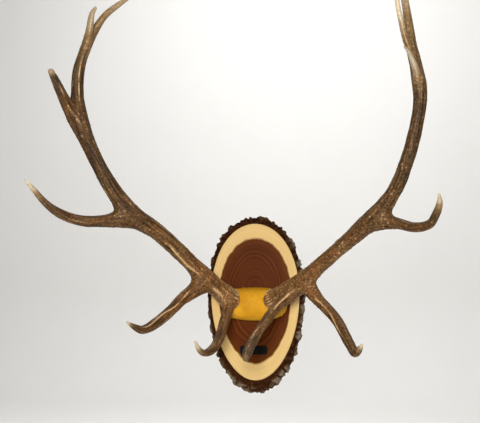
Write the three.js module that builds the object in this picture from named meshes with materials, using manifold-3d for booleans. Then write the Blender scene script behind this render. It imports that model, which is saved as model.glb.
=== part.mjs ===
// Elk antler mount: a pair of antlers on a leather-covered skull plate, fixed to an oval slice of a log with
// its bark on, which hangs flat on a wall.
// Millimetres. The wall is the plane y = 0, +X is the viewer's right, +Z is up, and the mount stands out from
// the wall towards -Y. The origin is on the wall, behind the middle of the slice's front face.
// Left and right are the viewer's.
import * as THREE from "three";
import { mergeVertices } from "three/addons/utils/BufferGeometryUtils.js";
import Module from "manifold-3d";

const wasm = await Module();
wasm.setup();

// Driving dimensions.
const GAP = 0.4;

// The log was sawn at a slant, so its sides lean: the back face sits lower than the front face. The oval is
// a little egg-shaped, with its broad end up.
const SLICE = { halfWidth: 132, halfHeight: 232, egg: 0.085, middle: 3, thickness: 30, lean: 20, corners: 96 };

// Bark thickness across the front face: thin at the sides, long where the slanting cut crosses it.
const BARK = { left: 12, right: 15, ends: 28, recess: 3, round: 7, corners: 120 };
const BARK_SHARE = { front: 0.85, back: 0.95 };

// The bark's furrows: how many ridges and lumps go round it, how they sway, and how deep they are cut.
const FURROWS = { ridges: 14, sway: 1.7, swayTurns: 5, lumps: 31, lumpShare: 0.25, depth: 0.5 };
const FURROW_SHIFT = { ridges: 0.35, lumps: 2.1 };

const COVER = { halfWidth: 97, halfHeight: 49, middle: -5, rise: 75, squareness: 2.6, lip: 6 };
const COVER_FACETS = { crown: 9, corners: 36 };

const PLATE = { width: 82, height: 25, thickness: 2, bevel: 0.8, corner: 6, x: -4, z: -142 };

// The burr is a knobbly collar round an antler's root, and the pedicle is the stub of skull behind it.
const BURR = { radius: 29, thickness: 14, rounding: 4, knobs: 15, knob: 4, uneven: 0.4 };
const PEDICLE = { radius: 20, length: 24, sides: 12 };
const SEAT_SIDES = 20;

// Antler centrelines. Each station is [x, distance out from the wall, height, radius].
const ANTLERS = {
  left: {
    main_beam: [
      [-69, 104, 16, 24.5], [-117, 160, 64, 23], [-190, 236, 147, 21.5], [-239, 287, 198, 21.8],
      [-293, 338, 242, 22], [-334, 378, 300, 20.5], [-371, 416, 379, 18], [-397, 442, 452, 17],
      [-407, 456, 528, 15.5], [-402, 462, 603, 14.2], [-383, 460, 661, 11], [-344, 450, 737, 8.5],
      [-312, 442, 768, 7], [-271, 432, 800, 3.5],
    ],
    brow_tine: [
      [-63, 121, 20, 8], [-68, 134, -15, 14.5], [-73, 168, -50, 14], [-85, 236, -103, 13],
      [-99, 268, -120, 11], [-112, 286, -122, 8.5], [-123, 304, -108, 6.5], [-128, 318, -90, 3],
    ],
    bez_tine: [
      [-125, 167, 72, 8], [-136, 178, 55, 19.5], [-156, 195, 38, 20], [-183, 226, 15, 16],
      [-209, 266, -17, 14.6], [-239, 308, -46, 13.5], [-262, 340, -58, 11], [-277, 368, -49, 7.5],
      [-291, 390, -35, 2.5],
    ],
    trez_tine: [
      [-274, 316, 222, 6], [-313, 350, 227, 19], [-358, 388, 221, 15], [-397, 420, 220, 14],
      [-438, 452, 232, 12.5], [-472, 484, 259, 9], [-494, 512, 292, 6], [-508, 528, 312, 2],
    ],
    royal_tine: [
      [-391, 437, 434, 7.5], [-407, 448, 464, 17], [-422, 471, 496, 15.5], [-426, 514, 524, 12.3],
      [-418, 576, 541, 9.5], [-409, 626, 547, 7],
    ],
    surroyal_tine: [
      [-390, 460, 652, 6], [-374, 476, 685, 8.8], [-353, 514, 723, 6.2], [-340, 528, 730, 3.5],
    ],
  },
  right: {
    main_beam: [
      [64, 104, 13, 24.5], [129, 160, 53, 22.5], [208, 232, 120, 19.6], [329, 342, 228, 20.2],
      [373, 384, 281, 18.4], [401, 420, 343, 17], [431, 462, 469, 15.5], [433, 470, 524, 15.2],
      [426, 472, 572, 14.2], [417, 470, 624, 11.5], [411, 464, 684, 10.2], [404, 456, 744, 8.8],
      [394, 446, 809, 6], [382, 438, 853, 3],
    ],
    brow_tine: [
      [127, 158, 48, 7], [110, 163, 26, 15.5], [81, 178, 1, 14.8], [46, 210, -44, 13.5],
      [15, 268, -94, 12.6], [7, 322, -119, 12.2], [7, 350, -127, 7.5],
    ],
    bez_tine: [
      [141, 173, 60, 7], [165, 190, 42, 17.5], [195, 218, 10, 15.6], [236, 262, -34, 14],
      [269, 318, -93, 12.5], [280, 340, -110, 11], [290, 354, -99, 8], [296, 366, -86, 2.5],
    ],
    trez_tine: [
      [300, 314, 204, 6], [343, 350, 217, 18.5], [384, 386, 210, 13.8], [422, 422, 198, 12.3],
      [452, 448, 204, 10.5], [463, 468, 223, 9], [468, 496, 248, 7.2], [465, 514, 267, 2.5],
    ],
    royal_tine: [
      [433, 470, 529, 5], [421, 502, 557, 7.8], [405, 546, 575, 5.4], [392, 584, 581, 3.5],
      [381, 612, 582, 1.5],
    ],
    surroyal_tine: [
      [418, 472, 606, 5], [403, 492, 627, 7.5], [381, 524, 698, 5.5], [376, 532, 730, 5],
      [369, 542, 774, 3],
    ],
  },
};

// How finely an antler is faceted, round it and from station to station, and the ridges that wind along it.
const BEAM_FACETS = { sides: 12, perStation: 3 };
const TINE_FACETS = { sides: 9, perStation: 2 };
const HORN_RIDGE = { share: 0.04, lobes: 3, turns: 1.5 };

const COLOURS = {
  wood: { color: 0x7a4a2a, roughness: 0.4, metalness: 0 },
  bark: { color: 0x4a2f22, roughness: 0.95, metalness: 0 },
  leather: { color: 0xd9971f, roughness: 0.6, metalness: 0 },
  plate: { color: 0x0c0c0e, roughness: 0.25, metalness: 0 },
  antler: { color: 0x7d5b3c, roughness: 0.55, metalness: 0 },
};

// A closed three.js geometry as a manifold solid.
function toSolid(geometry) {
  const bare = new THREE.BufferGeometry();
  bare.setAttribute("position", geometry.getAttribute("position"));
  bare.setIndex(geometry.getIndex());
  const merged = mergeVertices(bare, 1e-3);
  const vertProperties = merged.getAttribute("position").array;
  const triVerts = new Uint32Array(merged.getIndex().array);
  return new wasm.Manifold(new wasm.Mesh({ numProp: 3, vertProperties, triVerts }));
}

function toGeometry(solid) {
  const { vertProperties, triVerts } = solid.getMesh();
  const geometry = new THREE.BufferGeometry();
  geometry.setAttribute("position", new THREE.BufferAttribute(Float32Array.from(vertProperties), 3));
  geometry.setIndex(new THREE.BufferAttribute(Uint32Array.from(triVerts), 1));
  geometry.computeVertexNormals();
  return geometry;
}

// A cut can leave a sliver behind, so only the largest body is the piece.
function largestBody(solid) {
  return solid.decompose().reduce((best, body) => (body.volume() > best.volume() ? body : best));
}

// A closed surface through loops of points, each loop joined to the next and the last to the first.
function ringGeometry(loops) {
  const count = loops[0].length;
  const positions = loops.flat().flatMap((point) => point.toArray());
  const triangles = [];
  loops.forEach((_, level) => {
    const next = (level + 1) % loops.length;
    for (let i = 0; i < count; i++) {
      const j = (i + 1) % count;
      const [a, b] = [level * count + i, level * count + j];
      const [c, d] = [next * count + i, next * count + j];
      triangles.push(a, b, c, b, d, c);
    }
  });
  const geometry = new THREE.BufferGeometry();
  geometry.setAttribute("position", new THREE.Float32BufferAttribute(positions, 3));
  geometry.setIndex(triangles);
  geometry.computeVertexNormals();
  return geometry;
}

function pieceMesh(name, geometry, look) {
  const mesh = new THREE.Mesh(geometry, new THREE.MeshStandardMaterial(look));
  mesh.name = name;
  return mesh;
}

// How far the slanting sides have moved down at a distance out from the wall.
function leanAt(out) {
  return -SLICE.lean * (1 - out / SLICE.thickness);
}

// A point on the slice's outline, moved outwards across it by a margin.
function ovalPoint(angle, margin) {
  const { halfWidth, halfHeight, egg, middle } = SLICE;
  const [cos, sin] = [Math.cos(angle), Math.sin(angle)];
  const across = new THREE.Vector2(cos / halfWidth, sin / halfHeight).normalize();
  const edge = new THREE.Vector2(halfWidth * cos * (1 + egg * sin), middle + halfHeight * sin);
  return edge.addScaledVector(across, margin);
}

function sliceEdge(angle, margin, out) {
  const { x, y } = ovalPoint(angle, margin);
  return new THREE.Vector3(x, -out, y + leanAt(out));
}

// Evenly spaced angles round a full turn.
function turns(count) {
  return Array.from({ length: count }, (_, i) => (2 * Math.PI * i) / count);
}

function woodGeometry() {
  const { thickness, lean, corners } = SLICE;
  const outline = new THREE.Shape(turns(corners).map((angle) => ovalPoint(angle, 0)));
  const slab = new THREE.ExtrudeGeometry(outline, { depth: thickness, bevelEnabled: false });
  slab.rotateX(Math.PI / 2);
  slab.applyMatrix4(new THREE.Matrix4().makeShear(0, 0, 0, -lean / thickness, 0, 0));
  slab.translate(0, 0, -lean);
  return slab;
}

// Furrowed plates of bark: narrow ridges that run along the log, broken into lumps from back to front.
function barkThickness(angle, level) {
  const sides = THREE.MathUtils.lerp(BARK.left, BARK.right, 0.5 + 0.5 * Math.cos(angle));
  const base = THREE.MathUtils.lerp(sides, BARK.ends, Math.sin(angle) ** 2);
  const sway = FURROWS.sway * Math.sin(FURROWS.swayTurns * angle) + FURROW_SHIFT.ridges * level;
  const ridges = Math.abs(Math.sin(FURROWS.ridges * angle + sway));
  const lumps = 0.5 + 0.5 * Math.sin(FURROWS.lumps * angle + FURROW_SHIFT.lumps * level);
  const height = THREE.MathUtils.lerp(ridges, lumps, FURROWS.lumpShare);
  return base * (1 - FURROWS.depth * (1 - height));
}

function barkGeometry() {
  const front = SLICE.thickness - BARK.recess;
  const angles = turns(BARK.corners);
  const inner = (out) => angles.map((angle) => sliceEdge(angle, GAP, out));
  const outer = (out, level, share) =>
    angles.map((angle) => sliceEdge(angle, GAP + share * barkThickness(angle, level), out));
  return ringGeometry([
    inner(0),
    outer(0, 2, BARK_SHARE.back),
    outer(front / 2, 1, 1),
    outer(front - BARK.round, 0, 1),
    outer(front, 0, BARK_SHARE.front),
    inner(front),
  ]);
}

// A crowned pad over the skull plate: its outline and its profile are both rounded rectangles.
function coverGeometry() {
  const { halfWidth, halfHeight, middle, rise, squareness, lip } = COVER;
  const { crown, corners } = COVER_FACETS;
  const back = SLICE.thickness;
  const edge = [[0, -back], [1, -back], [1, -back - lip]];
  const profile = edge.map(([reach, height]) => new THREE.Vector2(reach, height));
  for (let i = 1; i <= crown; i++) {
    const turn = (i / crown) * (Math.PI / 2);
    const reach = i < crown ? Math.cos(turn) ** (2 / squareness) : 0;
    const height = lip + (rise - lip) * Math.sin(turn) ** (2 / squareness);
    profile.push(new THREE.Vector2(reach, -back - height));
  }
  const pad = new THREE.LatheGeometry(profile.reverse(), corners);
  const position = pad.getAttribute("position");
  for (let i = 0; i < position.count; i++) {
    const [x, z] = [position.getX(i), position.getZ(i)];
    const round = Math.hypot(x, z);
    const square = (Math.abs(x) ** squareness + Math.abs(z) ** squareness) ** (1 / squareness);
    const scale = square > 1e-6 ? round / square : 0;
    position.setX(i, x * scale * halfWidth);
    position.setZ(i, middle + z * scale * halfHeight);
  }
  return pad;
}

function plateGeometry() {
  const { width, height, thickness, bevel, corner, x, z } = PLATE;
  const [w, h] = [width / 2 - bevel, height / 2 - bevel];
  const outline = new THREE.Shape();
  outline.absarc(w - corner, h - corner, corner, 0, Math.PI / 2);
  outline.absarc(corner - w, h - corner, corner, Math.PI / 2, Math.PI);
  outline.absarc(corner - w, corner - h, corner, Math.PI, 1.5 * Math.PI);
  outline.absarc(w - corner, corner - h, corner, 1.5 * Math.PI, 2 * Math.PI);
  const settings = {
    depth: thickness - 2 * bevel,
    bevelThickness: bevel,
    bevelSize: bevel,
    bevelSegments: 1,
    curveSegments: 4,
  };
  const plate = new THREE.ExtrudeGeometry(outline, settings);
  plate.rotateX(Math.PI / 2);
  plate.translate(x, -SLICE.thickness - bevel, z);
  return plate;
}

function centreline(stations) {
  const points = stations.map(([x, out, up]) => new THREE.Vector3(x, -out, up));
  return new THREE.CatmullRomCurve3(points, false, "centripetal");
}

// A tapering horn swept along its stations, with shallow ridges that wind along it and a rounded tip.
function hornGeometry(stations, { sides, perStation }, grow) {
  const path = centreline(stations);
  const girth = new THREE.CatmullRomCurve3(
    stations.map((station) => new THREE.Vector3(station[3], 0, 0)),
    false,
    "catmullrom",
  );
  const steps = perStation * (stations.length - 1);
  const positions = path.getPoint(0).toArray();
  const triangles = [];
  const across = new THREE.Vector3(0, 0, 1);
  for (let step = 0; step <= steps; step++) {
    const along = step / steps;
    const centre = path.getPoint(along);
    const forward = path.getTangent(along);
    across.addScaledVector(forward, -across.dot(forward)).normalize();
    const upright = forward.clone().cross(across);
    const radius = girth.getPoint(along).x + grow;
    for (let side = 0; side < sides; side++) {
      const turn = (2 * Math.PI * side) / sides;
      const wind = HORN_RIDGE.lobes * turn + 2 * Math.PI * HORN_RIDGE.turns * along;
      const reach = radius * (1 + HORN_RIDGE.share * Math.cos(wind));
      const point = centre.clone();
      point.addScaledVector(across, reach * Math.cos(turn));
      point.addScaledVector(upright, reach * Math.sin(turn));
      positions.push(...point.toArray());
    }
  }
  const tip = path.getPoint(1).addScaledVector(path.getTangent(1), girth.getPoint(1).x + grow);
  positions.push(...tip.toArray());
  const vertex = (step, side) => 1 + step * sides + (side % sides);
  const last = 1 + (steps + 1) * sides;
  for (let side = 0; side < sides; side++) {
    triangles.push(0, vertex(0, side + 1), vertex(0, side));
    for (let step = 0; step < steps; step++) {
      const [a, b] = [vertex(step, side), vertex(step, side + 1)];
      const [c, d] = [vertex(step + 1, side), vertex(step + 1, side + 1)];
      triangles.push(a, b, c, b, d, c);
    }
    triangles.push(vertex(steps, side), vertex(steps, side + 1), last);
  }
  const geometry = new THREE.BufferGeometry();
  geometry.setAttribute("position", new THREE.Float32BufferAttribute(positions, 3));
  geometry.setIndex(triangles);
  return geometry;
}

// Turns a geometry that was made round the Z axis to point along an antler's root.
function placeAtRoot(geometry, path) {
  const forward = new THREE.Vector3(0, 0, 1);
  geometry.applyQuaternion(new THREE.Quaternion().setFromUnitVectors(forward, path.getTangentAt(0)));
  geometry.translate(...path.getPointAt(0).toArray());
  return toSolid(geometry);
}

function burrGeometry(grow) {
  const { radius, thickness, rounding, knobs, knob, uneven } = BURR;
  const corners = Array.from({ length: 2 * knobs }, (_, i) => {
    const turn = (Math.PI * i) / knobs;
    const stand = i % 2 === 0 ? knob * (1 + uneven * Math.sin(2 * i)) : 0;
    const reach = radius - rounding + grow + stand;
    return new THREE.Vector2(reach * Math.cos(turn), reach * Math.sin(turn));
  });
  const depth = thickness - 2 * rounding + 2 * grow;
  const settings = { depth, bevelThickness: rounding, bevelSize: rounding, bevelSegments: 1 };
  const collar = new THREE.ExtrudeGeometry(new THREE.Shape(corners), settings);
  return collar.translate(0, 0, -depth / 2);
}

// A round stub that reaches back from an antler's root.
function stubGeometry(radius, length, sides) {
  const stub = new THREE.CylinderGeometry(radius, radius, length, sides);
  return stub.rotateX(Math.PI / 2).translate(0, 0, -length / 2);
}

function beamSolid(stations, grow) {
  const path = centreline(stations);
  const horn = toSolid(hornGeometry(stations, BEAM_FACETS, grow));
  const burr = placeAtRoot(burrGeometry(grow), path);
  const pedicle = placeAtRoot(stubGeometry(PEDICLE.radius + grow, PEDICLE.length, PEDICLE.sides), path);
  return horn.add(burr).add(pedicle);
}

// The round seat in the leather that the burr sits in, with the pedicle's hole behind it.
function seatSolid(stations) {
  const path = centreline(stations);
  const reach = BURR.radius + 2 * BURR.knob + GAP;
  const depth = BURR.thickness / 2 + GAP;
  const seat = stubGeometry(reach, 2 * depth, SEAT_SIDES).translate(0, 0, depth);
  const hole = stubGeometry(PEDICLE.radius + GAP, PEDICLE.length + GAP, PEDICLE.sides);
  return placeAtRoot(seat, path).add(placeAtRoot(hole, path));
}

const mount = new THREE.Group();

mount.add(pieceMesh("plaque_wood", woodGeometry(), COLOURS.wood));
mount.add(pieceMesh("bark", barkGeometry(), COLOURS.bark));
mount.add(pieceMesh("nameplate", plateGeometry(), COLOURS.plate));

let cover = toSolid(coverGeometry());
for (const [side, { main_beam: stations, ...tines }] of Object.entries(ANTLERS)) {
  const clearance = beamSolid(stations, GAP);
  cover = cover.subtract(seatSolid(stations));
  mount.add(pieceMesh(`${side}_main_beam`, toGeometry(beamSolid(stations, 0)), COLOURS.antler));
  for (const [name, tineStations] of Object.entries(tines)) {
    const tine = toSolid(hornGeometry(tineStations, TINE_FACETS, 0)).subtract(clearance);
    mount.add(pieceMesh(`${side}_${name}`, toGeometry(largestBody(tine)), COLOURS.antler));
  }
}
mount.add(pieceMesh("leather_cover", toGeometry(largestBody(cover)), COLOURS.leather));

export default mount;
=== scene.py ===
import math

import bpy
import numpy as np
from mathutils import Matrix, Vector, kdtree, noise


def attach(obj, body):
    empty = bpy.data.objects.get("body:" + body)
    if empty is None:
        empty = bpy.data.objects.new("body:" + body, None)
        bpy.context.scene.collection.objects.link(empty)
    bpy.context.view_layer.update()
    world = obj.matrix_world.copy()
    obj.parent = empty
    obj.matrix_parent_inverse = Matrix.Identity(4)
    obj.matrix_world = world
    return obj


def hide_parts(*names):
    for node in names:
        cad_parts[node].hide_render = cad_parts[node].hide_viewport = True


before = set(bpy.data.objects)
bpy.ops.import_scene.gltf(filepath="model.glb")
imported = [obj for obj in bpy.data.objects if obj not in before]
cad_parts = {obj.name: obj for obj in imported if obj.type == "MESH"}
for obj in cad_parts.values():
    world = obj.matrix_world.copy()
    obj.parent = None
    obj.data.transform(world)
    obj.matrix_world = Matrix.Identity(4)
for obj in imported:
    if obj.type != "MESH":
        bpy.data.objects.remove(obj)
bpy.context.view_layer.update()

# In metres. The wall is the plane y = 0, the mount stands out towards -Y, and +X is the viewer's right.
MM = 0.001
SEED = 7

# The slice of log with its bark, the leather cover, and the antlers' burrs and pedicles, in millimetres.
SLICE = {"half_width": 132, "half_height": 232, "egg": 0.085, "middle": 3, "thickness": 30, "lean": 20}
HEART = {"half_width": 108, "half_height": 186, "middle": 5, "pith": 30}
BARK = {"left": 12, "right": 15, "ends": 28, "recess": 3}
COVER = {"half_width": 97, "half_height": 49, "middle": -5, "rise": 75, "squareness": 2.6, "lip": 6}
BURR = {"radius": 34, "depth": 6.5, "lumps": 20, "collar": 5, "root": 50}
PEDICLE = {"radius": 20, "length": 26}

# Antler centrelines. Each station is x, distance out from the wall, height and radius, in millimetres.
ANTLERS = {
    "left": {
        "main_beam": [
            (-69, 104, 16, 24.5), (-117, 160, 64, 23), (-190, 236, 147, 21.5), (-239, 287, 198, 21.8),
            (-293, 338, 242, 22), (-334, 378, 300, 20.5), (-371, 416, 379, 18), (-397, 442, 452, 17),
            (-407, 456, 528, 15.5), (-402, 462, 603, 14.2), (-383, 460, 661, 11), (-344, 450, 737, 8.5),
            (-312, 442, 768, 7), (-271, 432, 800, 3.5),
        ],
        "brow_tine": [
            (-63, 121, 20, 8), (-68, 134, -15, 14.5), (-73, 168, -50, 14), (-85, 236, -103, 13),
            (-99, 268, -120, 11), (-112, 286, -122, 8.5), (-123, 304, -108, 6.5), (-128, 318, -90, 3),
        ],
        "bez_tine": [
            (-125, 167, 72, 8), (-136, 178, 55, 19.5), (-156, 195, 38, 20), (-183, 226, 15, 16),
            (-209, 266, -17, 14.6), (-239, 308, -46, 13.5), (-262, 340, -58, 11), (-277, 368, -49, 7.5),
            (-291, 390, -35, 2.5),
        ],
        "trez_tine": [
            (-274, 316, 222, 6), (-313, 350, 227, 19), (-358, 388, 221, 15), (-397, 420, 220, 14),
            (-438, 452, 232, 12.5), (-472, 484, 259, 9), (-494, 512, 292, 6), (-508, 528, 312, 2),
        ],
        "royal_tine": [
            (-391, 437, 434, 7.5), (-407, 448, 464, 17), (-422, 471, 496, 15.5), (-426, 514, 524, 12.3),
            (-418, 576, 541, 9.5), (-409, 626, 547, 7),
        ],
        "surroyal_tine": [
            (-390, 460, 652, 6), (-374, 476, 685, 8.8), (-353, 514, 723, 6.2), (-340, 528, 730, 3.5),
        ],
    },
    "right": {
        "main_beam": [
            (64, 104, 13, 24.5), (129, 160, 53, 22.5), (208, 232, 120, 19.6), (329, 342, 228, 20.2),
            (373, 384, 281, 18.4), (401, 420, 343, 17), (431, 462, 469, 15.5), (433, 470, 524, 15.2),
            (426, 472, 572, 14.2), (417, 470, 624, 11.5), (411, 464, 684, 10.2), (404, 456, 744, 8.8),
            (394, 446, 809, 6), (382, 438, 853, 3),
        ],
        "brow_tine": [
            (127, 158, 48, 7), (110, 163, 26, 15.5), (81, 178, 1, 14.8), (46, 210, -44, 13.5),
            (15, 268, -94, 12.6), (7, 322, -119, 12.2), (7, 350, -127, 7.5),
        ],
        "bez_tine": [
            (141, 173, 60, 7), (165, 190, 42, 17.5), (195, 218, 10, 15.6), (236, 262, -34, 14),
            (269, 318, -93, 12.5), (280, 340, -110, 11), (290, 354, -99, 8), (296, 366, -86, 2.5),
        ],
        "trez_tine": [
            (300, 314, 204, 6), (343, 350, 217, 18.5), (384, 386, 210, 13.8), (422, 422, 198, 12.3),
            (452, 448, 204, 10.5), (463, 468, 223, 9), (468, 496, 248, 7.2), (465, 514, 267, 2.5),
        ],
        "royal_tine": [
            (433, 470, 529, 5), (421, 502, 557, 7.8), (405, 546, 575, 5.4), (392, 584, 581, 3.5),
            (381, 612, 582, 1.5),
        ],
        "surroyal_tine": [
            (418, 472, 606, 5), (403, 492, 627, 7.5), (381, 524, 698, 5.5), (376, 532, 730, 5),
            (369, 542, 774, 3),
        ],
    },
}

# The pale worn tip of each branch: its length in millimetres and how white it gets, from 0 to 1.
PALE_TIP = {
    "left": {
        "main_beam": (340, 0.65), "brow_tine": (70, 0.88), "bez_tine": (30, 0.9),
        "trez_tine": (100, 0.9), "royal_tine": (22, 0.62), "surroyal_tine": (230, 0.73),
    },
    "right": {
        "main_beam": (380, 0.85), "brow_tine": (20, 0.25), "bez_tine": (34, 0.9),
        "trez_tine": (75, 0.82), "royal_tine": (320, 1.0), "surroyal_tine": (300, 1.0),
    },
}

# How light the plain bone and the burr of each antler are, and how tan each branch is, from 0 to 1.
BONE_SHADE = {"left": 0.43, "right": 0.46}
BURR_SHADE = {"left": 0.38, "right": 0.14}
TAN = {
    "main_beam": 1.0, "brow_tine": 0.8, "bez_tine": 0.9,
    "trez_tine": 0.4, "royal_tine": 0.5, "surroyal_tine": 0.4,
}

# How streaky and how speckled each antler is.
STREAKINESS = {"left": 0.56, "right": 0.44}
SPECKS = {"left": 0.66, "right": 0.9}

# Ridges are real relief. Their pale colour is partly polish and partly painted highlight.
# Ridges: the branch, the way the ridge faces, where it starts and ends along the branch, its strength.
RIDGES_AND_HIGHLIGHTS = {
    "left": [
        ("main_beam", (0.36, -0.76, -0.54), 0.05, 0.11, 2.0),
        ("main_beam", (0.20, -0.78, -0.59), 0.15, 0.31, 1.0),
        ("main_beam", (0.26, -0.96, -0.08), 0.66, 0.90, 1.2),
        ("brow_tine", (-0.62, -0.69, 0.37), 0.04, 0.22, 0.9),
        ("brow_tine", (-0.27, -0.54, 0.79), 0.40, 0.80, 0.6),
        ("bez_tine", (0.41, -0.70, 0.58), 0.24, 0.86, 1.15),
        ("trez_tine", (0.00, -0.90, 0.30), 0.02, 0.22, 0.4),
        ("royal_tine", (0.67, -0.41, -0.62), 0.10, 0.85, 1.1),
        ("royal_tine", (-0.85, -0.25, -0.45), 0.20, 0.95, 0.6),
        ("surroyal_tine", (0.28, -0.63, -0.72), 0.00, 1.00, 0.8),
    ],
    "right": [
        ("main_beam", (-0.05, -0.80, -0.60), 0.09, 0.15, 1.5),
        ("main_beam", (-0.28, -0.95, -0.06), 0.69, 0.78, 0.4),
        ("brow_tine", (0.02, -0.90, 0.43), 0.03, 0.36, 1.6),
        ("brow_tine", (0.09, -0.67, 0.74), 0.56, 0.70, 1.0),
        ("brow_tine", (0.02, -0.38, 0.93), 0.78, 0.97, 0.5),
        ("bez_tine", (-0.60, -0.75, 0.28), 0.24, 0.78, 1.35),
        ("trez_tine", (0.00, -0.80, -0.60), 0.10, 0.50, 0.3),
        ("royal_tine", (0.27, -0.46, -0.85), 0.00, 1.00, 0.8),
        ("surroyal_tine", (-0.05, -0.93, -0.36), 0.00, 0.85, 1.3),
    ],
}


# Small helpers for numbers.
def smoothstep(low, high, value):
    t = np.clip((value - low) / (high - low), 0, 1)
    return t * t * (3 - 2 * t)


def bell(value, width):
    return np.exp(-((value / width) ** 2))


def unit(vectors):
    return vectors / np.maximum(np.linalg.norm(vectors, axis=-1, keepdims=True), 1e-12)


def full_turn(count):
    """That many even angles round one whole turn."""
    return np.linspace(0, 2 * np.pi, count, endpoint=False)


def cloud(points, size, octaves=1):
    """Smooth noise from about -1 to 1 at each point, with features of that size in metres."""
    scaled = (np.asarray(points) / size).tolist()
    if octaves == 1:
        return np.array([noise.noise(p) for p in scaled])
    return np.array([noise.fractal(p, 1.0, 2.0, octaves) for p in scaled])


# Node materials. A noise texture mostly keeps within this part of its range.
NOISE_RANGE = (0.3, 0.7)


class Shader:
    """A node material being made. Most methods add one node or more and give back an output socket."""

    def __init__(self, name):
        self.material = bpy.data.materials.new(name)
        self.material.use_nodes = True
        self.tree = self.material.node_tree
        self.surface = self.tree.nodes["Principled BSDF"]
        self.place = self.tree.nodes.new("ShaderNodeTexCoord").outputs["Object"]

    def feed(self, socket, value):
        if isinstance(value, bpy.types.NodeSocket):
            self.tree.links.new(value, socket)
        else:
            socket.default_value = value

    def node(self, kind, inputs, output=0, **settings):
        made = self.tree.nodes.new(kind)
        for key, value in settings.items():
            setattr(made, key, value)
        for key, value in inputs.items():
            self.feed(made.inputs[key], value)
        return made.outputs[output]

    def attribute(self, name):
        return self.node("ShaderNodeAttribute", {}, "Fac", attribute_name=name)

    def stretched(self, scale):
        return self.node("ShaderNodeMapping", {"Vector": self.place, "Scale": scale})

    def noise(self, scale, detail, rough, place=None):
        inputs = {"Vector": place or self.place, "Scale": scale, "Detail": detail, "Roughness": rough}
        return self.node("ShaderNodeTexNoise", inputs)

    def cells(self, scale):
        inputs = {"Vector": self.place, "Scale": scale}
        return self.node("ShaderNodeTexVoronoi", inputs, feature="DISTANCE_TO_EDGE")

    def math(self, operation, a, b=0.0):
        return self.node("ShaderNodeMath", {0: a, 1: b}, operation=operation)

    def add(self, total, *others):
        for other in others:
            total = self.math("ADD", total, other)
        return total

    def times(self, a, b):
        return self.math("MULTIPLY", a, b)

    def hypot(self, a, b):
        return self.math("SQRT", self.add(self.math("POWER", a, 2.0), self.math("POWER", b, 2.0)))

    def span(self, value, low, high, start=0.0, end=1.0):
        inputs = {0: value, 1: low, 2: high, 3: start, 4: end}
        return self.node("ShaderNodeMapRange", inputs, clamp=True)

    def swing(self, value, amount):
        """A noise texture made to run from minus that amount to plus that amount."""
        return self.span(value, *NOISE_RANGE, -amount, amount)

    def ramp(self, value, stops):
        made = self.tree.nodes.new("ShaderNodeValToRGB")
        self.feed(made.inputs[0], value)
        elements = made.color_ramp.elements
        while len(elements) < len(stops):
            elements.new(0.5)
        for element, (position, colour) in zip(elements, stops):
            element.position = position
            element.color = (*colour, 1)
        return made.outputs[0]

    def mix(self, share, a, b, blend="MIX"):
        made = self.tree.nodes.new("ShaderNodeMix")
        made.data_type = "RGBA"
        made.blend_type = blend
        for key, value in (("Factor_Float", share), ("A_Color", a), ("B_Color", b)):
            socket = next(s for s in made.inputs if s.identifier == key)
            self.feed(socket, (*value, 1) if isinstance(value, tuple) else value)
        return next(s for s in made.outputs if s.identifier == "Result_Color")

    def tinted(self, colour, tint):
        return self.mix(1.0, colour, tint, "MULTIPLY")

    def bump(self, height, distance, strength):
        inputs = {"Height": height, "Distance": distance, "Strength": strength}
        return self.node("ShaderNodeBump", inputs)

    def finish(self, **inputs):
        for key, value in inputs.items():
            self.feed(self.surface.inputs[key.replace("_", " ")], value)
        return self.material


def antler_material():
    s = Shader("antler_bone")
    pale = s.attribute("pale")
    speckle = s.noise(190.0, detail=5.0, rough=0.72)
    blotch = s.noise(30.0, detail=4.0, rough=0.65)
    mottle = s.noise(60.0, detail=3.0, rough=0.6)
    grain = s.noise(900.0, detail=2.0, rough=0.6)
    specks = s.times(s.span(speckle, 0.28, 0.72, -0.44, 0.44), s.attribute("specks"))
    height = s.add(s.attribute("relief"), specks, s.swing(mottle, 0.08))
    dark = s.ramp(
        height,
        [
            (0.05, (0.013, 0.0068, 0.0025)),
            (0.30, (0.038, 0.0200, 0.0074)),
            (0.55, (0.077, 0.0420, 0.0165)),
            (0.80, (0.150, 0.0880, 0.0380)),
            (1.00, (0.520, 0.3500, 0.2050)),
        ],
    )
    tan = s.ramp(
        height,
        [
            (0.05, (0.030, 0.0130, 0.0040)),
            (0.30, (0.092, 0.0410, 0.0130)),
            (0.55, (0.180, 0.0870, 0.0300)),
            (0.80, (0.290, 0.1560, 0.0620)),
            (1.00, (0.580, 0.3800, 0.2150)),
        ],
    )
    honey = s.ramp(
        height,
        [(0.1, (0.098, 0.054, 0.020)), (0.5, (0.250, 0.150, 0.062)), (1.0, (0.620, 0.445, 0.260))],
    )
    ivory = s.ramp(
        height,
        [(0.1, (0.380, 0.280, 0.160)), (0.5, (0.680, 0.565, 0.400)), (0.9, (0.860, 0.790, 0.650))],
    )
    brown = s.mix(s.attribute("tan"), dark, tan)
    warm = s.tinted(brown, (1.09, 0.94, 0.80))
    olive = s.tinted(brown, (0.93, 0.99, 0.90))
    blotched = s.mix(s.span(blotch, 0.36, 0.64), olive, warm)
    worn = s.mix(s.span(pale, 0.0, 0.55), blotched, honey)
    return s.finish(
        Base_Color=s.mix(s.span(pale, 0.55, 0.95), worn, ivory),
        Roughness=s.span(height, 0.25, 0.9, 0.62, 0.40),
        Normal=s.bump(s.add(speckle, s.times(grain, 0.3)), distance=0.0014, strength=0.6),
        Specular_IOR_Level=0.22,
    )


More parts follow.
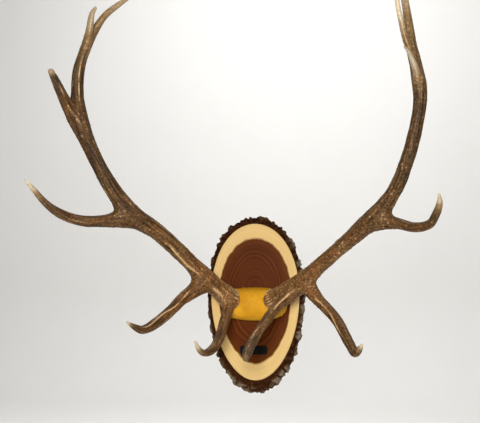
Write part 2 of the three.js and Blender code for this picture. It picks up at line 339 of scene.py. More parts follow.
def wood_material():
    s = Shader("log_slice_wood")
    parts = s.node("ShaderNodeSeparateXYZ", {0: s.place}).node.outputs
    tall = s.math("SUBTRACT", parts["Z"], HEART["middle"] * MM)
    up = s.math("DIVIDE", tall, HEART["half_height"] * MM)
    broad = s.add(s.times(up, SLICE["egg"]), 1.0)
    across = s.math("DIVIDE", s.math("DIVIDE", parts["X"], HEART["half_width"] * MM), broad)
    oval = s.hypot(across, up)
    pith = s.times(s.math("SUBTRACT", 1.0, oval), HEART["pith"] / HEART["half_height"])
    warp = s.noise(11.0, detail=2.0, rough=0.5)
    fine = s.noise(420.0, detail=3.0, rough=0.6)
    cloudy = s.noise(9.0, detail=3.0, rough=0.55)
    jagged = s.noise(42.0, detail=3.0, rough=0.5)
    ring = s.add(s.hypot(across, s.math("SUBTRACT", up, pith)), s.swing(warp, 0.035))
    rings = s.node("ShaderNodeTexNoise", {"W": ring, "Scale": 21.0, "Detail": 2.0}, noise_dimensions="1D")
    shade = s.add(s.swing(rings, 0.34), s.swing(fine, 0.10), s.swing(cloudy, 0.16))
    heart = s.ramp(
        s.add(shade, 0.5),
        [(0.0, (0.062, 0.012, 0.0006)), (0.5, (0.092, 0.020, 0.0012)), (1.0, (0.135, 0.034, 0.0040))],
    )
    sap = s.ramp(
        s.add(s.times(shade, 0.4), 0.55),
        [(0.0, (0.60, 0.40, 0.155)), (0.5, (0.72, 0.50, 0.205)), (1.0, (0.80, 0.59, 0.285))],
    )
    edge = s.add(oval, s.swing(jagged, 0.011), s.swing(warp, 0.010))
    halo = s.mix(s.span(edge, 0.90, 1.0), heart, s.tinted(heart, (1.25, 1.50, 1.2)))
    return s.finish(
        Base_Color=s.mix(s.span(edge, 0.985, 1.02), halo, sap),
        Roughness=s.span(fine, *NOISE_RANGE, 0.42, 0.55),
        Normal=s.bump(fine, distance=0.0002, strength=0.4),
        Specular_IOR_Level=0.04,
    )


def bark_material():
    s = Shader("rough_bark")
    relief = s.attribute("relief")
    grit = s.noise(170.0, detail=5.0, rough=0.7)
    loose = s.span(relief, 0.15, 0.5, 0.35, 1.0)
    height = s.add(relief, s.times(s.swing(grit, 0.34), loose))
    brown = s.ramp(
        height,
        [
            (0.08, (0.015, 0.0040, 0.0010)),
            (0.30, (0.046, 0.0138, 0.0025)),
            (0.52, (0.078, 0.0400, 0.0190)),
            (0.72, (0.112, 0.0760, 0.0460)),
            (0.95, (0.195, 0.1480, 0.0960)),
        ],
    )
    grey = s.tinted(brown, (0.74, 0.80, 1.0))
    tall = s.node("ShaderNodeSeparateXYZ", {0: s.place}, "Z")
    aged = s.times(s.span(tall, -0.14, 0.10), s.span(height, 0.35, 0.6))
    return s.finish(
        Base_Color=s.mix(aged, brown, grey),
        Roughness=s.span(height, 0.2, 0.9, 0.95, 0.8),
        Normal=s.bump(grit, distance=0.0015, strength=0.8),
        Specular_IOR_Level=0.1,
    )


def leather_material():
    s = Shader("golden_leather")
    pebbles = s.cells(620.0)
    fine = s.noise(240.0, detail=3.0, rough=0.6)
    blotch = s.noise(22.0, detail=4.0, rough=0.55)
    tone = s.add(s.attribute("relief"), s.swing(blotch, 0.2), s.swing(fine, 0.1))
    gold = s.ramp(
        tone,
        [
            (0.1, (0.34, 0.130, 0.003)),
            (0.45, (0.60, 0.275, 0.006)),
            (0.7, (0.71, 0.350, 0.010)),
            (1.0, (0.78, 0.430, 0.030)),
        ],
    )
    grain = s.add(s.span(pebbles, 0.0, 0.25), s.times(fine, 0.6))
    return s.finish(
        Base_Color=gold,
        Roughness=s.span(pebbles, 0.0, 0.3, 0.64, 0.50),
        Normal=s.bump(grain, distance=0.0004, strength=0.6),
        Specular_IOR_Level=0.2,
    )


def plate_material():
    s = Shader("black_plate")
    brushed = s.noise(120.0, detail=3.0, rough=0.6, place=s.stretched((1.0, 1.0, 26.0)))
    smudge = s.noise(45.0, detail=3.0, rough=0.55)
    return s.finish(
        Base_Color=s.ramp(brushed, [(0.3, (0.0012, 0.0014, 0.0013)), (0.75, (0.003, 0.0035, 0.003))]),
        Roughness=s.span(smudge, *NOISE_RANGE, 0.10, 0.20),
        Normal=s.bump(brushed, distance=0.00003, strength=0.2),
        Specular_IOR_Level=0.3,
    )


def floor_material():
    """A matt pale floor, with a faint glow that lights nothing else, so that it is pale on every side."""
    s = Shader("pale_floor")
    pale = s.mix(s.noise(3.0, detail=2.0, rough=0.5), (0.70, 0.69, 0.67), (0.72, 0.71, 0.69))
    glow = s.times(s.node("ShaderNodeLightPath", {}, "Is Camera Ray"), 0.25)
    return s.finish(Base_Color=pale, Roughness=0.8, Emission_Color=pale, Emission_Strength=glow)


# Mesh pieces.
def loop_faces(rows, columns, closed=False):
    """Quads between neighbouring loops of points, each loop joined end to end."""
    row = np.arange(rows if closed else rows - 1)[:, None]
    column = np.arange(columns)[None]
    following = (column + 1) % columns
    above = (row + 1) % rows
    lower = (row * columns + column, row * columns + following)
    upper = (above * columns + following, above * columns + column)
    return np.stack((*lower, *upper), -1).reshape(-1, 4).tolist()


def capped_faces(rows, columns):
    """The quads between loops, with one face across the first loop and one across the last."""
    first = list(range(columns))[::-1]
    last = [(rows - 1) * columns + i for i in range(columns)]
    return [*loop_faces(rows, columns), first, last]


def make_mesh(name, points, faces):
    mesh = bpy.data.meshes.new(name)
    mesh.from_pydata(np.asarray(points, float).reshape(-1, 3).tolist(), [], faces)
    mesh.validate()
    thing = bpy.data.objects.new(name, mesh)
    bpy.context.scene.collection.objects.link(thing)
    return thing


def dress(thing, material, nodes):
    """Finishes a piece: smooth shading, its material, and its place on the frame."""
    thing.data.shade_smooth()
    thing.data.materials.clear()
    thing.data.materials.append(material)
    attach(thing, "root")
    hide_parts(*nodes)


def store(thing, name, values):
    attribute = thing.data.attributes.new(name, "FLOAT", "POINT")
    attribute.data.foreach_set("value", np.ascontiguousarray(values, np.float32))


def vertices(thing):
    flat = np.empty(3 * len(thing.data.vertices), np.float32)
    thing.data.vertices.foreach_get("co", flat)
    return flat.reshape(-1, 3).astype(float)


def move_vertices(thing, points):
    thing.data.vertices.foreach_set("co", np.ascontiguousarray(points, np.float32).ravel())
    thing.data.update()


# How finely an antler is made: the step along a branch, the corners round it and the cell of its mesh.
PATH_STEP = 0.006
TUBE_CORNERS = 14
VOXEL = {"draft": 0.0035, "full": 0.0018}

# How many points are measured at once, how far out a branch is looked for, and its gap beyond that.
BATCH = 3000
FAR = 0.07
OUT_OF_REACH = 1.0

# How near branches share a web, its share of their radius, and the passes and steps that smooth it.
NEAR = 0.010
WEB = 0.60
PASSES = 3
PASS_STEP = 0.006

# Grooves along a branch: how many a beam and a tine have, their depth and width, and how far they wander.
GROOVES = {"beam": 8, "tine": 6, "depth": 0.045, "level": 0.25, "width": 0.2, "wander": 0.6}

# Noise on a branch: how much a metre along it counts where its radius counts as one, and sizes of features.
LENGTHWISE = 7
FEATURES = {"bends": 1.1, "kinks": 0.45, "patches": 0.8, "streaks": 0.42}

# Ridges are pale partly from polish and partly as painted highlight.
# Ridges: their width, the hollows beside them and how far they wander, as angles round the branch.
RIDGE = {"width": 0.14, "hollow_at": 0.45, "hollow_width": 0.22, "wander": 0.5}

# How gradually a ridge starts and ends, as shares of its branch, and the noise that bends and breaks it.
RIDGE_START = (-0.03, 0.03)
RIDGE_END = (-0.08, 0.04)
RIDGE_BREAKS = (-0.75, 0.4)
RIDGE_SIZES = {"bends": 0.08, "breaks": 0.05}

# Relief as shares of a branch's radius, and how dark the hollows are.
RISE = {"streak": 0.018, "ridge": 0.06, "hollow": 0.02}
HOLLOW_SHADE = 0.16

# A worn tip: where along it the wear fades out, how the wear pales it, and how much relief it loses.
TIP_FADE = (0.1, 1.0)
TIP_POWER = 1.4
TIP_LOSS = 0.85

# Where tan and beads fade along a beam and along a tine, as shares of its length, and how much tan is lost.
FADE = {
    "beam": {"tan": (0.08, 0.62), "beads": (0.05, 0.62), "tan_loss": 1.0},
    "tine": {"tan": (0.25, 1.0), "beads": (0.0, 0.5), "tan_loss": 0.75},
}

# Beads: sizes in metres, height as a share of that, and how many points have one where the bone is rough.
BEADS = {"sizes": (0.0018, 0.0036), "height": 0.34, "density": 0.07}
ROOT_ROUGHNESS = 0.8

# Broad lumps all over the bone: their height and size in metres.
LUMPS = {"height": 0.0011, "size": 0.045}

# How relief shades the bone: metres of rise and of bead for a whole step, and the share of each other form.
SHADE_STEP = {"rise": 0.0070, "bead": 0.0034}
# The ridge share lightens the ridges, partly as polish and partly as painted highlight.
SHADE_SHARE = {"ridge": 0.55, "burr": 1.3, "collar": -0.5}
ROUGH_STREAKS = -0.26
BRIGHTEST = 1.2


# Antlers: tubes along the branches are fused, drawn onto one smooth webbed form and given their relief.
def trace(stations):
    """A smooth path through stations: points, radii, lengths, directions and steady sides."""
    knots = np.array(stations) * MM
    knots[:, 1] *= -1
    knots = np.vstack([2 * knots[0] - knots[1], knots, 2 * knots[-1] - knots[-2]])
    spans = []
    for p0, p1, p2, p3 in zip(knots, knots[1:], knots[2:], knots[3:]):
        d0, d1, d2 = (np.linalg.norm((b - a)[:3]) ** 0.5 for a, b in ((p0, p1), (p1, p2), (p2, p3)))
        leave = (p1 - p0) / d0 - (p2 - p0) / (d0 + d1) + (p2 - p1) / d1
        arrive = (p2 - p1) / d1 - (p3 - p1) / (d1 + d2) + (p3 - p2) / d2
        count = max(2, round(d1 * d1 / PATH_STEP))
        t = np.arange(count)[:, None] / count
        start = (1 + 2 * t) * (1 - t) ** 2 * p1 + t * (1 - t) ** 2 * d1 * leave
        spans.append(start + t * t * (3 - 2 * t) * p2 + t * t * (t - 1) * d1 * arrive)
    path = np.vstack([*spans, knots[-2:-1]])
    points = path[:, :3]
    lengths = np.concatenate([[0], np.cumsum(np.linalg.norm(np.diff(points, axis=0), axis=1))])
    forward = unit(np.gradient(points, axis=0))
    sides = [unit(np.cross(forward[0], (0, 0, 1)))]
    for direction in forward[1:]:
        sides.append(unit(sides[-1] - direction * (sides[-1] @ direction)))
    return {
        "points": points,
        "radius": path[:, 3],
        "length": lengths,
        "forward": forward,
        "side": np.array(sides),
    }


def pedicle_station(stations):
    """A first station behind the burr, where the antler goes into the skull plate."""
    root, onward = np.array(stations[0][:3], float), np.array(stations[1][:3], float)
    behind = root - unit(onward - root) * PEDICLE["length"]
    return (*behind, PEDICLE["radius"])


def tube(path):
    """A round tube along a path, flat at its root and pointed at its tip."""
    turn = full_turn(TUBE_CORNERS)
    across = np.cross(path["forward"], path["side"])
    ring = np.cos(turn)[:, None] * path["side"][:, None] + np.sin(turn)[:, None] * across[:, None]
    points = path["points"][:, None] + ring * path["radius"][:, None, None]
    tip = path["points"][-1] + path["forward"][-1] * path["radius"][-1]
    *faces, end = capped_faces(len(points), TUBE_CORNERS)
    point_of_tip = len(points) * TUBE_CORNERS
    faces += [[end[i], end[(i + 1) % TUBE_CORNERS], point_of_tip] for i in range(TUBE_CORNERS)]
    return np.vstack([points.reshape(-1, 3), tip]), faces


def nearest(points, path):
    """How far each point is outside a branch, with the branch's length, radius, angle and direction."""
    start = path["points"][:-1]
    run = np.diff(path["points"], axis=0)
    run_square = (run**2).sum(1)
    taper = np.diff(path["radius"])
    index = np.empty(len(points), int)
    share = np.empty(len(points))
    for part in np.array_split(np.arange(len(points)), max(1, len(points) // BATCH)):
        offset = points[part, None] - start
        t = np.clip(np.einsum("psk,sk->ps", offset, run) / run_square, 0, 1)
        offset -= t[..., None] * run
        gap = np.sqrt(np.einsum("psk,psk->ps", offset, offset)) - (path["radius"][:-1] + t * taper)
        best = gap.argmin(1)
        index[part] = best
        share[part] = t[np.arange(len(part)), best]
    away = points - start[index] - share[:, None] * run[index]
    side = path["side"][index]
    radius = path["radius"][index] + share * taper[index]
    return {
        "gap": np.linalg.norm(away, axis=1) - radius,
        "outward": unit(away),
        "forward": path["forward"][index],
        "angle": np.arctan2((away * np.cross(path["forward"][index], side)).sum(1), (away * side).sum(1)),
        "radius": radius,
        "length": path["length"][index] + share * (path["length"][index + 1] - path["length"][index]),
    }


def survey(points, branches):
    """The smooth surface over all branches, and each branch's nearest() for the points within its reach."""
    gaps = np.full((len(points), len(branches)), OUT_OF_REACH)
    outward = np.zeros((*gaps.shape, 3))
    radius = np.ones(gaps.shape)
    found = []
    for column, path in enumerate(branches.values()):
        low = path["points"].min(0) - FAR
        high = path["points"].max(0) + FAR
        near = np.flatnonzero(((points > low) & (points < high)).all(1))
        close = nearest(points[near], path)
        gaps[near, column] = close["gap"]
        outward[near, column] = close["outward"]
        radius[near, column] = close["radius"]
        found.append((near, close))
    closest = gaps.min(1, keepdims=True)
    near_share = np.exp(-(gaps - closest) / NEAR)
    web = WEB * (near_share * radius).sum(1, keepdims=True) / near_share.sum(1, keepdims=True)
    share = np.exp(-(gaps - closest) / web)
    total = share.sum(1, keepdims=True)
    distance = closest[:, 0] - web[:, 0] * np.log(total[:, 0])
    share /= total
    normal = unit((share[..., None] * outward).sum(1))
    return distance, normal, share, found


def gutters(close, count):
    """Relief of a branch as a share of its radius, with that many grooves, and its finer streaks."""
    cos, sin = np.cos(close["angle"]), np.sin(close["angle"])
    along = LENGTHWISE * close["length"]
    where = np.stack([cos, sin, along], 1)
    wander = cloud(where, FEATURES["bends"]) + 0.5 * cloud(where + 9, FEATURES["kinks"])
    turn = count * close["angle"] / (2 * np.pi) + GROOVES["wander"] * wander
    groove = bell(turn % 1.0 - 0.5, GROOVES["width"])
    present = smoothstep(-0.2, 0.35, cloud(where * (1, 1, 1.4) + 31, FEATURES["patches"]))
    streaks = cloud(np.stack([3 * cos, 3 * sin, along], 1), FEATURES["streaks"], 3)
    return GROOVES["depth"] * (GROOVES["level"] - groove * present), streaks


def ridge_and_highlight_at(close, grown, facing, start, end):
    """A ridge along one branch, from 0 to 1, and the hollows on both sides of it; it also sets a painted
    highlight.
    """
    along = np.stack([0 * grown, 0 * grown, close["length"]], 1)
    forward = close["forward"]
    crest = unit(np.array(facing) - forward * (forward @ facing)[:, None])
    wander = RIDGE["wander"] * cloud(along + start, RIDGE_SIZES["bends"])
    crest = unit(crest + wander[:, None] * np.cross(forward, crest))
    turn = np.arccos(np.clip((crest * close["outward"]).sum(1), -1, 1))
    begun = smoothstep(*RIDGE_START, grown - start)
    ended = smoothstep(*RIDGE_END, grown - end)
    whole = smoothstep(*RIDGE_BREAKS, cloud(along + 3 + end, RIDGE_SIZES["breaks"]))
    present = begun * (1 - ended) * whole
    hollow = bell(turn - RIDGE["hollow_at"], RIDGE["hollow_width"])
    return present * bell(turn, RIDGE["width"]), present * hollow


def burr_lumps(angle):
    """Uneven lumps round a burr, from about 0 to 1."""
    return 0.52 + 0.48 * np.cos(BURR["lumps"] * angle + 1.5 * np.sin(3 * angle))


def antler_relief(side, share, found, branches):
    """At each point: relief in metres outwards, and the looks of the bone, each from about 0 to 1."""
    rise, streaks, ridge, pale, tan, rough, root, burr, collar = np.zeros((9, len(share)))
    for column, (name, path) in enumerate(branches.items()):
        kind = "beam" if name == "main_beam" else "tine"
        near, close = found[column]
        weight = share[near, column]
        grown = close["length"] / path["length"][-1]
        tip, white = PALE_TIP[side][name]
        to_tip = path["length"][-1] - close["length"]
        worn = 1 - smoothstep(*TIP_FADE, to_tip / (tip * MM))
        relief, fine = gutters(close, GROOVES[kind])
        relief += RISE["streak"] * fine
        for branch, facing, start, end, strength in RIDGES_AND_HIGHLIGHTS[side]:
            if branch == name:
                crest, hollow = ridge_and_highlight_at(close, grown, facing, start, end)
                relief += strength * (RISE["ridge"] * crest - RISE["hollow"] * hollow)
                # The ridge's lighter colour is partly polish and partly painted highlight.
                ridge[near] += weight * strength * (crest - HOLLOW_SHADE * hollow)
        rise[near] += weight * relief * close["radius"] * (1 - TIP_LOSS * worn)
        streaks[near] += weight * fine * (1 - worn)
        pale[near] += weight * worn**TIP_POWER * white
        fade = FADE[kind]
        rough[near] += weight * (1 - smoothstep(*fade["beads"], grown)) * (1 - worn)
        tan[near] += weight * (1 - fade["tan_loss"] * smoothstep(*fade["tan"], grown)) * TAN[name]
        if kind == "beam":
            beyond = close["length"] - PEDICLE["length"] * MM
            collar[near] += weight * bell(beyond, BURR["collar"] * MM)
            # Beads of the burr: real lumps, pale partly from wear and partly as painted highlight, darker
            # between them.
            burr[near] += collar[near] * burr_lumps(close["angle"])
            root[near] += weight * bell(beyond, BURR["root"] * MM)
    rough += ROOT_ROUGHNESS * root
    looks = {"pale": pale, "tan": tan, "rough": rough, "root": root, "collar": collar}
    return rise, {**looks, "streaks": streaks, "ridge": ridge, "burr": burr}


def scatter_beads(points, rough):
    """Rounded beads scattered over the rough parts of an antler, in metres outwards."""
    generator = np.random.default_rng(SEED)
    chosen = np.flatnonzero(generator.random(len(points)) < BEADS["density"] * rough)
    sizes = generator.uniform(*BEADS["sizes"], len(chosen))
    tree = kdtree.KDTree(len(chosen))
    for number, point in enumerate(points[chosen].tolist()):
        tree.insert(point, number)
    tree.balance()
    hits = [tree.find(p) for p in points.tolist()]
    size = sizes[[hit[1] for hit in hits]]
    reach = np.array([hit[2] for hit in hits]) / size
    return BEADS["height"] * size * np.clip(1 - reach**2, 0, 1) ** 1.5


def fuse(name, branches):
    """One closed mesh over all the branches' tubes."""
    points, faces = [], []
    for path in branches.values():
        tube_points, tube_faces = tube(path)
        start = sum(len(p) for p in points)
        faces += [[start + i for i in face] for face in tube_faces]
        points.append(tube_points)
    rough_form = make_mesh(f"{name}_tubes", np.vstack(points), faces)
    remesh = rough_form.modifiers.new("fuse", "REMESH")
    remesh.mode = "VOXEL"
    remesh.voxel_size = VOXEL["full"]
    evaluated = rough_form.evaluated_get(bpy.context.evaluated_depsgraph_get())
    fused = bpy.data.objects.new(name, bpy.data.meshes.new_from_object(evaluated))
    bpy.data.objects.remove(rough_form)
    bpy.context.scene.collection.objects.link(fused)
    return fused


def make_antler(side, tracks, material):
    stations = {name: list(track) for name, track in tracks.items()}
    stations["main_beam"].insert(0, pedicle_station(stations["main_beam"]))
    branches = {name: trace(track) for name, track in stations.items()}
    antler = fuse(f"{side}_antler", branches)
    points = vertices(antler)
    for _ in range(PASSES):
        distance, normal, _, _ = survey(points, branches)
        points -= np.clip(distance, -PASS_STEP, PASS_STEP)[:, None] * normal
    _, normal, share, found = survey(points, branches)
    rise, looks = antler_relief(side, share, found, branches)
    beads = scatter_beads(points, np.clip(looks["rough"], 0, 1))
    lumps = LUMPS["height"] * cloud(points, LUMPS["size"], 2) * (1 - looks["pale"])
    out = rise + beads + lumps + looks["burr"] * BURR["depth"] * MM
    move_vertices(antler, points + out[:, None] * normal)
    shade = BONE_SHADE[side] + BURR_SHADE[side] * looks["root"]
    shade += rise / SHADE_STEP["rise"] + beads / SHADE_STEP["bead"]
    shade += (STREAKINESS[side] + ROUGH_STREAKS * looks["rough"]) * looks["streaks"]
    # The burr share lightens the beads, partly as painted highlight, and the collar share darkens between
    # them.
    shade += sum(part * looks[name] for name, part in SHADE_SHARE.items())
    store(antler, "relief", np.clip(shade, 0, BRIGHTEST))
    store(antler, "specks", np.full(len(points), SPECKS[side]))
    store(antler, "pale", np.clip(looks["pale"], 0, 1))
    store(antler, "tan", np.clip(looks["tan"], 0, 1))
    dress(antler, material, [f"{side}_{name}" for name in tracks])


# The wood: how finely it is made, its rounded front edge as distances in and back, and its back bevel.
WOOD_COLUMNS = 240
WOOD_EDGE = [(1.6, 0.0), (0.5, 0.4), (0.0, 1.5)]
WOOD_BEVEL = 0.8

# The bark: how finely it is made, its gap from the wood, and its rounded outer edges, in millimetres.
BARK_COLUMNS = {"draft": 500, "full": 1150}
BARK_ROWS = {"cut": 9, "sides": 20, "back": 6}
BARK_GAP = 0.3
BARK_ROUND = {"front": 3.0, "corner": 4.0, "back": 1.5}

# What the bark's depth is made of, as shares: a plain core, the least it stands out past that, and knobs.
BARK_CORE = 0.42
BARK_LEAST = 0.32
BARK_KNOBS = 0.46

# Knobs of bark: width and length in metres and share of the height, for large ones and for small ones.
KNOBS = [(0.030, 0.050, 0.95), (0.012, 0.020, 0.3)]

# Cracks between knobs: their width as a share of a knob, and how far and how closely they bend in metres.
CRACKS = {"width": 0.4, "bend": 0.006, "bend_size": 0.016}

# Crumbs of bark: their size in metres. Their height, and the cut's knobs and crumbs, in millimetres.
CRUMB_SIZE = 0.007
CRUMBS = 1.4
CUT_KNOBS = 5.5
CUT_CRUMBS = 1.2

# Where round the slice the bark is darkest and where its cut is freshest, as angles.
DARKEST = 2.3
FRESHEST = 4.0

# How light the bark is outside and inside on its cut, and what knobs, knobs at the rim and crumbs add.
OUTER_TONE = {"plain": 0.10, "knobs": 0.95, "rim_knobs": 1.2, "crumbs": 0.22}
INNER_TONE = {"plain": 0.22, "crumbs": 0.12}


# The slice of log.
def lean_at(out):
    """How far down the slanting sides have moved at a distance out from the wall, in millimetres."""
    return -SLICE["lean"] * (1 - out / SLICE["thickness"])


def edge_normal(angle):
    """The way out across the slice's edge, in x and z."""
    return unit(np.stack([np.cos(angle) / SLICE["half_width"], np.sin(angle) / SLICE["half_height"]], -1))


def slice_edge(angle, margin, out):
    """Points on the slice's edge, moved outwards across it by a margin. Millimetres in, metres out."""
    cos, sin = np.cos(angle), np.sin(angle)
    across = edge_normal(angle)
    x = SLICE["half_width"] * cos * (1 + SLICE["egg"] * sin) + margin * across[..., 0]
    z = SLICE["middle"] + SLICE["half_height"] * sin + margin * across[..., 1] + lean_at(out)
    return np.stack([x, np.full(x.shape, -float(out)), z], -1) * MM


def make_wood(material):
    angle = full_turn(WOOD_COLUMNS)
    thick = SLICE["thickness"]
    edge = [slice_edge(angle, -inside, thick - behind) for inside, behind in WOOD_EDGE]
    back = slice_edge(angle, -WOOD_BEVEL, 0)
    front_middle = np.array([0, -thick, SLICE["middle"]]) * MM
    back_middle = np.array([0, 0, SLICE["middle"] + lean_at(0)]) * MM
    rows = [front_middle + (edge[0] - front_middle) * share for share in (0.25, 0.5, 0.75)]
    rows += [*edge, slice_edge(angle, 0, thick / 2), slice_edge(angle, 0, WOOD_BEVEL)]
    rows += [back, back_middle + (back - back_middle) * 0.5]
    faces = capped_faces(len(rows), WOOD_COLUMNS)
    wood = make_mesh("log_slice", np.vstack(rows), [face[::-1] for face in faces])
    dress(wood, material, ["plaque_wood"])


def bark_depth(angle):
    sides = BARK["left"] + (BARK["right"] - BARK["left"]) * (0.5 + 0.5 * np.cos(angle))
    return sides + (BARK["ends"] - sides) * np.sin(angle) ** 2


def knobs(points):
    """Height from 0 to 1 of the cracked knobs of bark, long along the log."""
    bends = [cloud(points + shift, CRACKS["bend_size"]) for shift in (0.0, 3.0, 7.0)]
    bent = points + CRACKS["bend"] * np.stack(bends, 1)
    height = np.zeros(len(points))
    for wide, long, part in KNOBS:
        scaled = bent / np.array([wide, long, wide])
        near, beyond = np.array([noise.voronoi(p)[0][:2] for p in scaled.tolist()]).T
        domed = np.clip(1.1 - 0.8 * near, 0, 1)
        height += part * smoothstep(0.0, CRACKS["width"], beyond - near) * domed
    tall = np.clip(0.5 + 0.8 * cloud(points, 0.03, 2), 0, 1)
    return np.clip(height * (0.5 + 0.7 * tall), 0, 1)


def bark_tone(angle, share, on_cut, high, crumbs):
    """How light the bark is from 0 to 1: dark inside on its cut face, with weathered knobs at its rim."""
    weathered = 0.64 - 0.36 * np.cos(angle - DARKEST)
    fresh = 0.5 + 0.5 * np.cos(angle - FRESHEST)
    inner = np.where(on_cut, 1 - smoothstep(0.35 * fresh, 0.25 + 0.65 * fresh, share), 0)
    rim = smoothstep(0.5, 1.0, share)
    knob_tone = (OUTER_TONE["knobs"] + OUTER_TONE["rim_knobs"] * rim) * high * weathered
    outer_tone = OUTER_TONE["plain"] + knob_tone + OUTER_TONE["crumbs"] * crumbs
    inner_tone = INNER_TONE["plain"] + INNER_TONE["crumbs"] * crumbs
    return np.clip(outer_tone * (1 - inner) + inner_tone * inner, 0, 1)


def make_bark(material):
    columns = BARK_COLUMNS["full"]
    angle = full_turn(columns)
    depth = bark_depth(angle)
    front = SLICE["thickness"] - BARK["recess"]
    across_cut = np.linspace(0.0, 0.9, BARK_ROWS["cut"])
    along_sides = np.linspace(front - BARK_ROUND["corner"], BARK_ROUND["back"], BARK_ROWS["sides"])
    across_back = np.linspace(0.95, 0.0, BARK_ROWS["back"])
    cut = [(share, front - BARK_ROUND["front"] * share**3) for share in across_cut]
    sides = [(1.0, out) for out in along_sides]
    back = [(share, 0.0) for share in across_back]
    rows = cut + sides + back
    points = np.array([slice_edge(angle, BARK_GAP + BARK_CORE * share * depth, out) for share, out in rows])
    high = knobs(points.reshape(-1, 3)).reshape(len(rows), columns)
    crumbs = cloud(points.reshape(-1, 3), CRUMB_SIZE, 3).reshape(len(rows), columns)
    share = np.array([row[0] for row in rows])[:, None]
    on_cut = (np.arange(len(rows)) < len(cut))[:, None]
    reach = share * (BARK_LEAST * depth + BARK_KNOBS * depth * high + CRUMBS * crumbs) * MM
    points[..., [0, 2]] += reach[..., None] * edge_normal(angle)
    points[..., 1] -= on_cut * share * (CUT_KNOBS * (high - 0.5) + CUT_CRUMBS * crumbs) * MM
    bark = make_mesh("log_slice_bark", points, loop_faces(len(rows), columns, closed=True))
    store(bark, "relief", bark_tone(angle, share, on_cut, high, crumbs).ravel())
    dress(bark, material, ["bark"])


# How much wider than the burr and the pedicle their seats in the leather are, and how deep, in millimetres.
SEAT = {"burr_margin": 2.5, "pedicle_margin": 3.0, "burr_depth": 9, "pedicle_depth": PEDICLE["length"] + 1}

# The leather cover: how finely it is made, its gap from the wood, and its rounded lip as reach and height.
COVER_COLUMNS = 220
COVER_ROWS = 60
COVER_GAP = 0.3
COVER_LIP = [(0.90, 0.0), (0.965, 0.3), (0.99, 1.6), (1.0, 3.6)]

# Puckers round the foot of the cover and creases low on its left, with heights in millimetres.
PUCKERS = {"count": 46, "height": 4, "spread": 11}
CREASES = {"size": 1.1, "gap": 2.6, "height": 14, "spread": 14, "left": 0.78, "breadth": 0.22}

# Soft lumps over the cover: their height and size in metres, and how high they start in millimetres.
COVER_LUMPS = {"height": 0.0012, "size": 0.03, "start": 2}

# How light the leather is, what its puckers add, and how dark it is along its foot up to a height.
# Puckers and creases are painted lighter where they stand out and darker where they sink, and the foot gets
# painted shade.
LEATHER_TONE = {"plain": 0.62, "swell": 0.16, "foot_shade": -0.25, "foot_height": 5}


# The leather over the skull plate.
def press_seat(points, stations):
    """Points under an antler's burr, pressed back along its root so that the burr sits in the leather."""
    root = np.array(stations[0][:3], float) * (1, -1, 1) * MM
    onward = np.array(stations[1][:3], float) * (1, -1, 1) * MM
    forward = unit(onward - root)
    offset = points - root
    height = offset @ forward
    reach = np.linalg.norm(offset - height[:, None] * forward, axis=1)
    under_burr = reach < (BURR["radius"] + SEAT["burr_margin"]) * MM
    under_pedicle = reach < (PEDICLE["radius"] + SEAT["pedicle_margin"]) * MM
    floor = np.where(under_pedicle, -SEAT["pedicle_depth"] * MM, -SEAT["burr_depth"] * MM)
    press = np.where(under_burr, np.maximum(height - floor, 0), 0)
    return points - press[:, None] * forward


def cover_swell(turn, height):
    """How far the puckers and creases of the leather stand out, in millimetres."""
    skirt = bell(height - PUCKERS["height"], PUCKERS["spread"])
    pucker = np.cos(PUCKERS["count"] * turn + 3 * np.sin(5 * turn)) * (0.5 + 0.5 * np.sin(7 * turn + 1))
    fold = bell(np.cos(turn) + CREASES["left"], CREASES["breadth"]) * (np.sin(turn) < 0)
    crease = np.sin(height / CREASES["gap"] + 2.5 * np.sin(9 * turn)) * fold
    crease *= bell(height - CREASES["height"], CREASES["spread"])
    return skirt * pucker + CREASES["size"] * crease


def make_cover(material):
    turn = full_turn(COVER_COLUMNS)
    power = COVER["squareness"]
    square = (np.abs(np.cos(turn)) ** power + np.abs(np.sin(turn)) ** power) ** (-1 / power)
    lip, rise = COVER["lip"], COVER["rise"]
    profile = list(COVER_LIP)
    for lean in np.linspace(0, np.pi / 2, COVER_ROWS)[1:-1]:
        reach = math.cos(lean) ** (2 / power)
        profile.append((reach, lip + (rise - lip) * math.sin(lean) ** (2 / power)))
    reach = np.array([p[0] for p in profile])[:, None]
    height = np.array([p[1] for p in profile])[:, None] * np.ones(COVER_COLUMNS)
    swell = cover_swell(turn, height)
    x = (COVER["half_width"] * reach + swell) * np.cos(turn) * square
    y = -(SLICE["thickness"] + COVER_GAP + height)
    z = COVER["middle"] + (COVER["half_height"] * reach + swell) * np.sin(turn) * square
    points = np.stack([x, y, z], -1).reshape(-1, 3) * MM
    lumps = COVER_LUMPS["height"] * cloud(points, COVER_LUMPS["size"], 2)
    points[:, 1] -= lumps * (height.ravel() > COVER_LUMPS["start"])
    for tracks in ANTLERS.values():
        points = press_seat(points, tracks["main_beam"])
    cover = make_mesh("skull_cover", points, capped_faces(len(profile), COVER_COLUMNS))
    # Painted highlight and shade on the puckers and creases, and painted shade along the foot.
    tone = LEATHER_TONE["plain"] + LEATHER_TONE["swell"] * swell
    tone += LEATHER_TONE["foot_shade"] * bell(height, LEATHER_TONE["foot_height"])
    store(cover, "relief", np.clip(tone, 0, 1).ravel())
    dress(cover, material, ["leather_cover"])


# The stage in metres: a floor that reaches far to all sides and curves up behind into a wall.
FLOOR = {"height": -1.1, "reach": 60.0, "bend_start": 4.0, "bend_radius": 1.0, "wall_top": 10.0}
BEND_STEPS = 14

# The camera, in metres, and its lens and sensor in millimetres.
CAMERA = {"place": (0.200, -2.130, 0.100), "target": (-0.0452, -0.030, 0.272), "lens": 52.5, "sensor": 36.0}

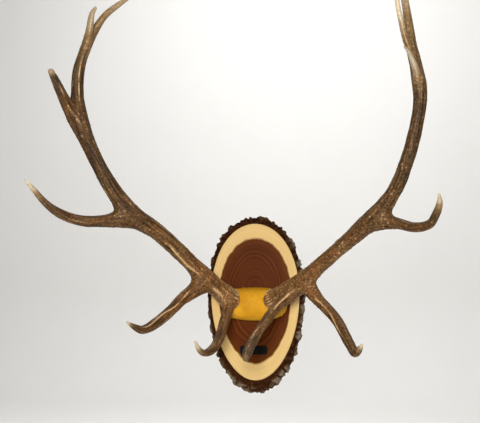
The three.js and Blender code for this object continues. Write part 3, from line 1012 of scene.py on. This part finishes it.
# The lights: name, place, what it is aimed at, size in metres, power in watts and colour.
PART_MIDDLE = (0, -0.2, 0.2)
WALL_BEHIND = (0, 5.0, 0.2)
LIGHTS = [
    ("key", (0.10, -2.42, 0.32), PART_MIDDLE, 0.4, 48, (1.0, 0.96, 0.90)),
    ("fill", (2.4, -2.2, 0.9), PART_MIDDLE, 2.0, 6, (1.0, 0.98, 0.95)),
    ("overhead", (0.0, 0.4, 3.2), PART_MIDDLE, 2.5, 9, (1.0, 1.0, 1.0)),
    ("behind", (-0.8, 2.8, 1.8), PART_MIDDLE, 2.5, 18, (1.0, 0.98, 0.95)),
    ("backdrop", (0.0, 1.6, 3.6), WALL_BEHIND, 3.0, 170, (1.0, 1.0, 1.0)),
]

# The studio round the stage: its colour, how strongly it lights, and how bright it is where it is seen.
STUDIO = {"colour": (0.95, 0.94, 0.92, 1), "lights": 0.20, "seen": 0.75}


def make_stage():
    radius = FLOOR["bend_radius"]
    bend_middle = (FLOOR["bend_start"], FLOOR["height"] + radius)
    profile = [(-FLOOR["reach"], FLOOR["height"])]
    for t in np.linspace(0, math.pi / 2, BEND_STEPS):
        profile.append((bend_middle[0] + radius * math.sin(t), bend_middle[1] - radius * math.cos(t)))
    profile.append((FLOOR["bend_start"] + radius, FLOOR["wall_top"]))
    points = [(x, y, z) for x in (-FLOOR["reach"], FLOOR["reach"]) for y, z in profile]
    count = len(profile)
    faces = [[i, i + 1, count + i + 1, count + i] for i in range(count - 1)]
    floor = make_mesh("studio_floor", points, faces)
    floor.data.shade_smooth()
    floor.data.materials.append(floor_material())


def aim(thing, target):
    direction = Vector(target) - thing.location
    thing.rotation_mode = "QUATERNION"
    thing.rotation_quaternion = direction.to_track_quat("-Z", "Y")


def add_light(name, place, target, size, power, colour):
    data = bpy.data.lights.new(name, "AREA")
    data.size = size
    data.energy = power
    data.color = colour
    light = bpy.data.objects.new(name, data)
    bpy.context.scene.collection.objects.link(light)
    light.location = place
    aim(light, target)


def make_camera():
    data = bpy.data.cameras.new("camera")
    data.sensor_width = CAMERA["sensor"]
    data.lens = CAMERA["lens"]
    camera = bpy.data.objects.new("camera", data)
    bpy.context.scene.collection.objects.link(camera)
    camera.location = CAMERA["place"]
    aim(camera, CAMERA["target"])
    bpy.context.scene.camera = camera


def make_world():
    world = bpy.data.worlds.new("studio")
    world.use_nodes = True
    tree = world.node_tree
    glow = tree.nodes["Background"]
    glow.inputs["Color"].default_value = STUDIO["colour"]
    seen = tree.nodes.new("ShaderNodeLightPath").outputs["Is Camera Ray"]
    strength = tree.nodes.new("ShaderNodeMapRange")
    strength.inputs["To Min"].default_value = STUDIO["lights"]
    strength.inputs["To Max"].default_value = STUDIO["seen"]
    tree.links.new(seen, strength.inputs["Value"])
    tree.links.new(strength.outputs["Result"], glow.inputs["Strength"])
    bpy.context.scene.world = world


# The scene.
make_camera()
make_stage()
for light in LIGHTS:
    add_light(*light)
make_world()
bpy.context.scene.view_settings.view_transform = "Standard"

make_wood(wood_material())
make_bark(bark_material())
make_cover(leather_material())
bone = antler_material()
for side, tracks in ANTLERS.items():
    make_antler(side, tracks, bone)
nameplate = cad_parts["nameplate"]
nameplate.data.materials.clear()
nameplate.data.materials.append(plate_material())
